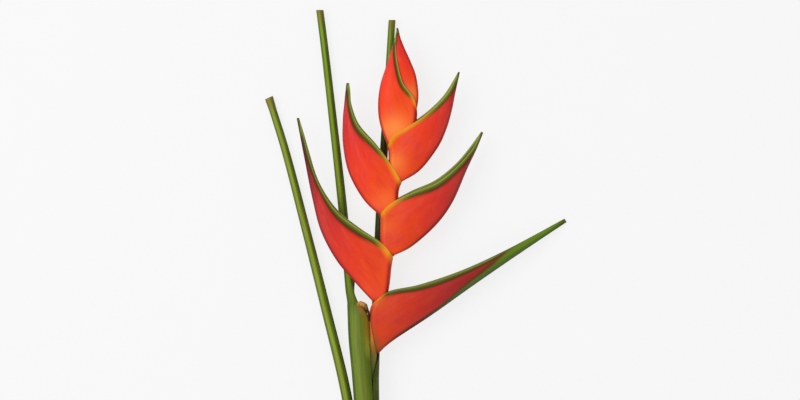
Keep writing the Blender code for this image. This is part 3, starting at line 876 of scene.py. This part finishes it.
def add_mouth(finish):
    """Withered rim of the middle sheath, rolled outwards and wrinkled."""
    places = np.linspace(0, 1, MOUTH_LEVELS)
    path = through([row[:3] for row in MOUTH], places)
    radius = along_y([(index, row[3]) for index, row in enumerate(MOUTH)], places * (len(MOUTH) - 1))[:, 0]
    along = np.gradient(path, axis=0)
    along /= np.linalg.norm(along, axis=1)[:, None]
    across = np.cross(along, (0.0, 0.0, 1.0))
    across /= np.linalg.norm(across, axis=1)[:, None]
    up = np.cross(across, along)
    around = np.linspace(0, 2 * math.pi, MOUTH_SIDES, endpoint=False)
    place = places[:, None]
    turns, slant, waves = MOUTH_DEEP_WAVES
    wrinkle = MOUTH_DEEP_WRINKLE * np.sin(turns * around + slant * place) * np.sin(waves * place)
    turns, slant = MOUTH_FINE_WAVES
    wrinkle += MOUTH_FINE_WRINKLE * np.sin(turns * around + slant * place)
    reach = radius[:, None] * (1 + wrinkle)
    rings = (path[:, None] + (reach * np.cos(around))[:, :, None] * across[:, None]
             + (MOUTH_FLATNESS * reach * np.sin(around))[:, :, None] * up[:, None])
    marks = {
        "along": place * MOUTH_PATTERN_LENGTH,
        "across": around * MOUTH_PATTERN_RADIUS,
        "shaded": smooth(*MOUTH_SHADED_PLACES, place),
    }
    piece = add_piece("sheath_mouth", rings, marks, [finish])


def bract_red(graph, streak):
    """Red of a bract: orange at its foot, deep at its tip, with a painted highlight near its root and
    painted shade that dulls and darkens it beside a shaded keel and on a left one's root.
    """
    place = graph.read("place")
    keel = graph.read("keel")
    shade = graph.read("shade")
    cloud = graph.noise(0.07, 0.03, detail=2.0)
    blush = graph.noise(0.16, 0.06)
    skin = graph.ramp(graph.ease(graph.read("foot"), 0.0, 110.0), [
        (0.0, (244, 76, 16)),
        (0.17, (244, 60, 20)),
        (0.42, (228, 46, 34)),
        (0.72, (194, 28, 36)),
        (1.0, (146, 6, 24)),
    ])
    skin = graph.lay(skin, (234, 70, 58), cloud, 0.42, 0.68, 0.55)
    skin = graph.lay(skin, (212, 32, 36), blush, 0.5, 0.72, 0.35)
    skin = graph.lay(skin, (246, 96, 50), blush, 0.46, 0.3, 0.3)
    skin = graph.lay(skin, (196, 34, 16), streak, 0.5, 0.75, 0.22)
    skin = graph.lay(skin, (240, 92, 66), streak, 0.45, 0.25, 0.2)
    # Painted highlight near the root, light orange.
    skin = graph.mix(graph.read("root_highlight"), skin, (254, 134, 56))
    skin = graph.mix(graph.times(graph.read("olive"), shade), skin, (136, 90, 16))
    # Painted shade dulls the red of a shaded bract along its middle.
    skin = graph.mix(graph.times(shade, graph.ease(place, 0.1, 0.6, 0.38, 0.8)), skin, (144, 38, 32))
    # Deep red along the keel: the bract's own darker edge, and painted shade where the fold turns away.
    skin = graph.lay(skin, (158, 4, 20), keel, 2.6, 0.3, 0.8)
    # Painted shade in deep red on a left bract's root.
    skin = graph.mix(graph.times(graph.read("root_shade"), 0.75), skin, (170, 6, 24))
    # Painted shade, dark brown, along a shaded keel near the foot.
    keel_shade = graph.times(shade, graph.ease(keel, 4.0, 0.6))
    skin = graph.mix(graph.times(keel_shade, graph.ease(place, 0.04, 0.26)), skin, (50, 22, 4))
    dark_end = graph.times(graph.read("end"), graph.ease(keel, 5.0, 1.0, 0.6, 0.95))
    return graph.mix(dark_end, skin, (74, 8, 8))


def bract_margin(graph, skin, wobble):
    """Green band along a bract's margin, gold near the foot, with a painted highlight on its rim and a dark
    line of painted shade along its inner side.
    """
    gold_reach = graph.read("gold")
    band = graph.add(graph.read("band"), wobble)
    # Painted shade: a dark line along the inner side of the green band.
    shade_under_band = graph.times(graph.ease(band, 2.1, 1.0), graph.ease(gold_reach, 0.9, 2.4, 0.0, 0.9))
    skin = graph.mix(shade_under_band, skin, (72, 34, 2))
    depth = graph.times(band, 0.8)
    # The band's green: a painted highlight at the rim's very edge, then painted shade darkening it further
    # in.
    green = graph.ramp(depth, [
        (0.0, (160, 166, 84)),
        (0.08, (126, 138, 36)),
        (0.3, (98, 112, 6)),
        (0.55, (76, 86, 0)),
        (0.8, (58, 48, 0)),
    ])
    gold = graph.ramp(depth, [
        (0.0, (222, 152, 28)),
        (0.35, (234, 136, 4)),
        (0.9, (238, 100, 12)),
    ])
    # Painted shade darkens the green band on a shaded bract.
    green = graph.mix(graph.times(graph.read("shade"), 0.5), green, (64, 66, 4))
    rim = graph.mix(graph.ease(gold_reach, 1.45, 0.45), green, gold)
    softness = graph.ease(gold_reach, 1.3, 0.4, 0.16, 0.7)
    edge = graph.math("DIVIDE", graph.math("SUBTRACT", 1.06, band), softness)
    return graph.mix(graph.ease(edge, -0.6, 1.0), skin, rim)


def bract_keel(graph, skin, wobble):
    """Green along a bract's keel, with a brown edge."""
    band = graph.add(graph.read("keel_band"), wobble)
    skin = graph.lay(skin, (84, 54, 12), band, 1.6, 1.0, 0.8)
    # Green that darkens towards the keel itself: partly its own tone, partly painted shade where the fold
    # turns away.
    green = graph.ramp(graph.times(graph.read("keel"), 0.2), [
        (0.0, (22, 40, 0)),
        (0.14, (42, 70, 0)),
        (0.34, (66, 100, 0)),
        (0.9, (94, 122, 14)),
    ])
    return graph.mix(graph.ease(band, 1.05, 0.6), skin, green)


def bract_lining(graph, skin):
    """Pale green inside of a bract, gold near the foot."""
    # Painted light on the lining: paler at the rim, darker deeper in the fold.
    inside = graph.lay((112, 106, 40), (140, 156, 66), graph.read("band"), 2.0, 0.5)
    inside = graph.lay(inside, (236, 140, 24), graph.read("gold"), 1.3, 0.6)
    return graph.mix(graph.ease(graph.read("inner"), 0.4, 0.9), skin, inside)


def bract_finish():
    """Waxy red skin with a green band along the margin that turns gold near the foot."""
    graph = Graph("bract_skin", roughness=0.46, specular=0.16)
    streak = graph.noise(0.9, 0.035)
    wobble = graph.math("SUBTRACT", graph.times(graph.noise(0.6, 0.12), 0.2), 0.1)
    skin = bract_red(graph, streak)
    skin = bract_margin(graph, skin, wobble)
    skin = bract_keel(graph, skin, wobble)
    skin = graph.lay(skin, (96, 84, 18), graph.read("place"), 0.965, 0.99, 0.8)
    skin = bract_lining(graph, skin)
    graph.set("Base Color", skin)
    graph.set("Roughness", graph.ease(streak, 0.2, 0.8, 0.4, 0.54))
    graph.set("Coat Weight", 0.04)
    graph.set("Coat Roughness", 0.25)
    veins = graph.noise(2.2, 0.02, roughness=0.6)
    graph.bump(veins, 0.25, 0.0004)
    return graph.material


def rachis_finish():
    """Orange-red skin of the rachis, green where the stalk is in the sheaths, with painted shade in deep red
    on its sides.
    """
    graph = Graph("rachis_skin", roughness=0.46, specular=0.26)
    along = graph.read("along")
    streak = graph.noise(1.1, 0.05)
    red = graph.lay((236, 72, 22), (214, 46, 18), streak, 0.4, 0.8, 0.3)
    # Painted shade in deep red on the rachis's sides, where it turns away from view.
    red = graph.lay(red, (186, 12, 26), graph.read("edge"), 0.75, 0.97, 0.8)
    warm = graph.lay((176, 144, 44), (206, 92, 34), graph.read("right"), -0.4, 0.5)
    warm = graph.lay(warm, (206, 100, 36), along, 44.0, 56.0)
    green = graph.lay((62, 74, 6), (108, 104, 28), along, 14.0, 36.0)
    green = graph.lay(green, warm, along, 34.0, 50.0)
    ragged_along = graph.add(along, graph.times(streak, 14.0))
    graph.set("Base Color", graph.lay(green, red, ragged_along, 70.0, 90.0))
    graph.bump(graph.noise(2.2, 0.03), 0.25, 0.0004)
    return graph.material


# Colours across a stalk, a stalk with a painted highlight on its pale ridge and a sheath, from left
# to right as stops of place and colour. Each holds painted light: a highlight down the middle and painted
# shade at the edges and on the right side.
STALK_LIT_AND_SHADED_COLOURS = [
    (0.0, (56, 80, 2)),
    (0.08, (58, 84, 0)),
    (0.24, (112, 142, 8)),
    (0.4, (122, 152, 16)),
    (0.54, (104, 132, 4)),
    (0.66, (48, 72, 0)),
    (0.82, (60, 84, 0)),
    (1.0, (46, 68, 0)),
]
HIGHLIT_STALK_COLOURS = [
    (0.0, (58, 76, 4)),
    (0.09, (66, 84, 4)),
    (0.26, (136, 152, 52)),
    (0.48, (144, 160, 54)),
    (0.62, (102, 120, 8)),
    (0.8, (76, 92, 0)),
    (1.0, (54, 70, 2)),
]
SHEATH_LIT_AND_SHADED_COLOURS = [
    (0.0, (58, 80, 6)),
    (0.07, (56, 78, 4)),
    (0.14, (104, 128, 32)),
    (0.28, (112, 132, 48)),
    (0.4, (104, 116, 44)),
    (0.48, (98, 110, 40)),
    (0.56, (90, 108, 26)),
    (0.66, (78, 96, 10)),
    (0.78, (66, 78, 8)),
    (0.9, (58, 68, 6)),
]


def stalk_finish():
    """Smooth green skin with pale and dark streaks along it, a browned top and a dry mouth, with painted
    light: a highlight down the middle, shade at the edges and in the channel, and shadow where the rest
    covers it.
    """
    graph = Graph("stalk_skin", roughness=0.44, specular=0.12)
    along = graph.read("along")
    streak = graph.noise(1.3, 0.02, detail=4.0, roughness=0.6)
    fine = graph.noise(5.0, 0.05, roughness=0.6)
    cloud = graph.noise(0.1, 0.04, detail=2.0)
    streak_swing = graph.math("SUBTRACT", streak, 0.5)
    shifted = graph.add(graph.read("sideways"), graph.times(streak_swing, 0.2))
    across = graph.add(graph.times(shifted, 0.5), 0.5)
    # Painted highlight down the middle and painted shade at the edges and the right side.
    skin = graph.ramp(across, STALK_LIT_AND_SHADED_COLOURS)
    # A stronger painted highlight on the ridge of a pale-ridged stalk.
    skin = graph.mix(graph.read("pale"), skin, graph.ramp(across, HIGHLIT_STALK_COLOURS))
    sheath = graph.ramp(across, SHEATH_LIT_AND_SHADED_COLOURS)
    beside_bract = graph.ease(across, 0.58, 0.76)
    for colour, low, high in (((156, 142, 40), 30.0, 42.0), ((134, 96, 14), 44.0, 54.0)):
        browned = graph.times(beside_bract, graph.ease(along, low, high))
        sheath = graph.mix(graph.times(browned, 0.75), sheath, colour)
    skin = graph.mix(graph.read("sheath"), skin, sheath)
    skin = graph.lay(skin, (120, 128, 40), cloud, 0.4, 0.7, 0.35)
    skin = graph.lay(skin, (54, 76, 0), streak, 0.48, 0.7, 0.5)
    skin = graph.lay(skin, (156, 170, 66), fine, 0.5, 0.75, 0.35)
    # Painted shade inside the channel and the sheath.
    skin = graph.mix(graph.times(graph.read("inner"), 0.6), skin, (30, 46, 0))
    # Painted shadow where the rest of the flower shades a stalk.
    skin = graph.mix(graph.read("deep"), skin, (28, 38, 0))
    brown = graph.times(graph.ease(graph.read("top"), 16.0, 1.0, 0.0, 0.75), graph.ease(streak, 0.3, 0.6))
    skin = graph.mix(brown, skin, (126, 100, 50))
    skin = graph.lay(skin, (150, 104, 40), graph.add(graph.read("mouth"), streak_swing), 0.2, 1.0)
    graph.set("Base Color", skin)
    graph.set("Roughness", graph.ease(streak, 0.2, 0.8, 0.38, 0.52))
    graph.bump(fine, 0.3, 0.0003)
    return graph.material


def bud_finish():
    """Cream buds with green tips."""
    graph = Graph("bud_skin", roughness=0.4, specular=0.3)
    streak = graph.noise(1.6, 0.2)
    skin = graph.ramp(graph.ease(graph.read("along"), 0.0, BUD_PATTERN_LENGTH), [
        (0.0, (238, 214, 140)),
        (0.6, (226, 214, 130)),
        (1.0, (120, 150, 50)),
    ])
    graph.set("Base Color", graph.lay(skin, (160, 176, 80), streak, 0.5, 0.8, 0.5))
    graph.bump(streak, 0.3, 0.0003)
    return graph.material


def mouth_finish():
    """Dry, wrinkled brown edge of a sheath, with painted shade in dark brown blotches on its lower right
    part.
    """
    graph = Graph("dry_sheath", roughness=0.75, specular=0.2)
    blotch = graph.noise(0.5, 0.4)
    skin = graph.ramp(blotch, [
        (0.3, (124, 78, 28)),
        (0.5, (182, 128, 62)),
        (0.7, (212, 170, 100)),
    ])
    # Painted shade in dark brown blotches on the mouth's lower right part.
    dark = graph.times(graph.read("shaded"), graph.ease(blotch, 0.74, 0.5))
    graph.set("Base Color", graph.mix(dark, skin, (56, 28, 8)))
    graph.bump(graph.noise(1.6, 1.6, detail=4.0), 0.5, 0.0005)
    return graph.material


def cut_finish():
    """Pale, open-pored cut face."""
    graph = Graph("cut_face", roughness=0.7)
    point = graph.object_point()
    pores = graph.cells_at(point, 1400.0)
    tone = graph.mix(graph.noise_at(point, 300.0), (186, 186, 120), (160, 150, 90))
    graph.set("Base Color", graph.lay((110, 110, 50), tone, pores, 0.0, 0.35))
    graph.bump(pores, 0.5, 0.0003)
    return graph.material


def floor_finish():
    """Plain pale floor, softly lit from below so that shadows on it stay faint."""
    graph = Graph("pale_floor", roughness=0.9, specular=0.0)
    cloud = graph.noise_at(graph.object_point(), 40.0)
    graph.set("Base Color", graph.add(graph.times(cloud, FLOOR_TONE_SPREAD), FLOOR_TONE))
    graph.set("Emission Color", WHITE)
    graph.set("Emission Strength", FLOOR_GLOW)
    return graph.material


def add_floor():
    """Floor that the flower lies on."""
    mesh = bpy.data.meshes.new("floor")
    signs = ((-1, -1), (1, -1), (1, 1), (-1, 1))
    corners = [(x * FLOOR_HALF_SIZE, y * FLOOR_HALF_SIZE, 0) for x, y in signs]
    mesh.from_pydata(corners, [], [(0, 1, 2, 3)])
    mesh.materials.append(floor_finish())
    floor = bpy.data.objects.new("floor", mesh)
    bpy.context.collection.objects.link(floor)


def add_key_light():
    """Square soft light at the upper left, turned to the flower."""
    data = bpy.data.lights.new("key", "AREA")
    data.size = KEY_SIZE
    data.energy = KEY_POWER
    light = bpy.data.objects.new("key", data)
    light.location = KEY_PLACE
    light.rotation_euler = (-Vector(KEY_PLACE)).to_track_quat("-Z", "Y").to_euler()
    bpy.context.collection.objects.link(light)


def add_sky():
    """Even white light from all round."""
    world = bpy.data.worlds.new("studio")
    world.use_nodes = True
    background = world.node_tree.nodes["Background"]
    background.inputs["Color"].default_value = WHITE
    background.inputs["Strength"].default_value = SKY_STRENGTH
    bpy.context.scene.world = world


def add_camera():
    """Long lens that looks straight down on the bloom, as the photograph does."""
    data = bpy.data.cameras.new("camera")
    data.sensor_width = SENSOR
    data.lens = SENSOR * (CAMERA_HEIGHT - BLOOM_HEIGHT * MILLIMETRE) / PICTURE_WIDTH
    camera = bpy.data.objects.new("camera", data)
    camera.location = (PICTURE_CENTRE[0] + ORIGIN[0], PICTURE_CENTRE[1] + ORIGIN[1], CAMERA_HEIGHT)
    bpy.context.collection.objects.link(camera)
    bpy.context.scene.camera = camera


def add_flower():
    """Every piece of the flower in its finish."""
    cut = cut_finish()
    bract_skin = bract_finish()
    stalk_skin = stalk_finish()
    bud_skin = bud_finish()
    add_rachis(rachis_finish(), cut)
    for index, (name, spec) in enumerate(BRACTS.items()):
        add_bract(name, spec, PATTERN_STEP * index, bract_skin)
    for bract_name, (side, reach) in BUDS.items():
        add_buds(bract_name, side, reach, bud_skin)
    for name, stations in LEAVES.items():
        add_leaf(name, stations, LEAF_DETAILS[name], stalk_skin, cut)
    add_mouth(mouth_finish())


add_camera()
add_sky()
add_key_light()
bpy.context.scene.view_settings.view_transform = "Standard"
add_floor()
add_flower()
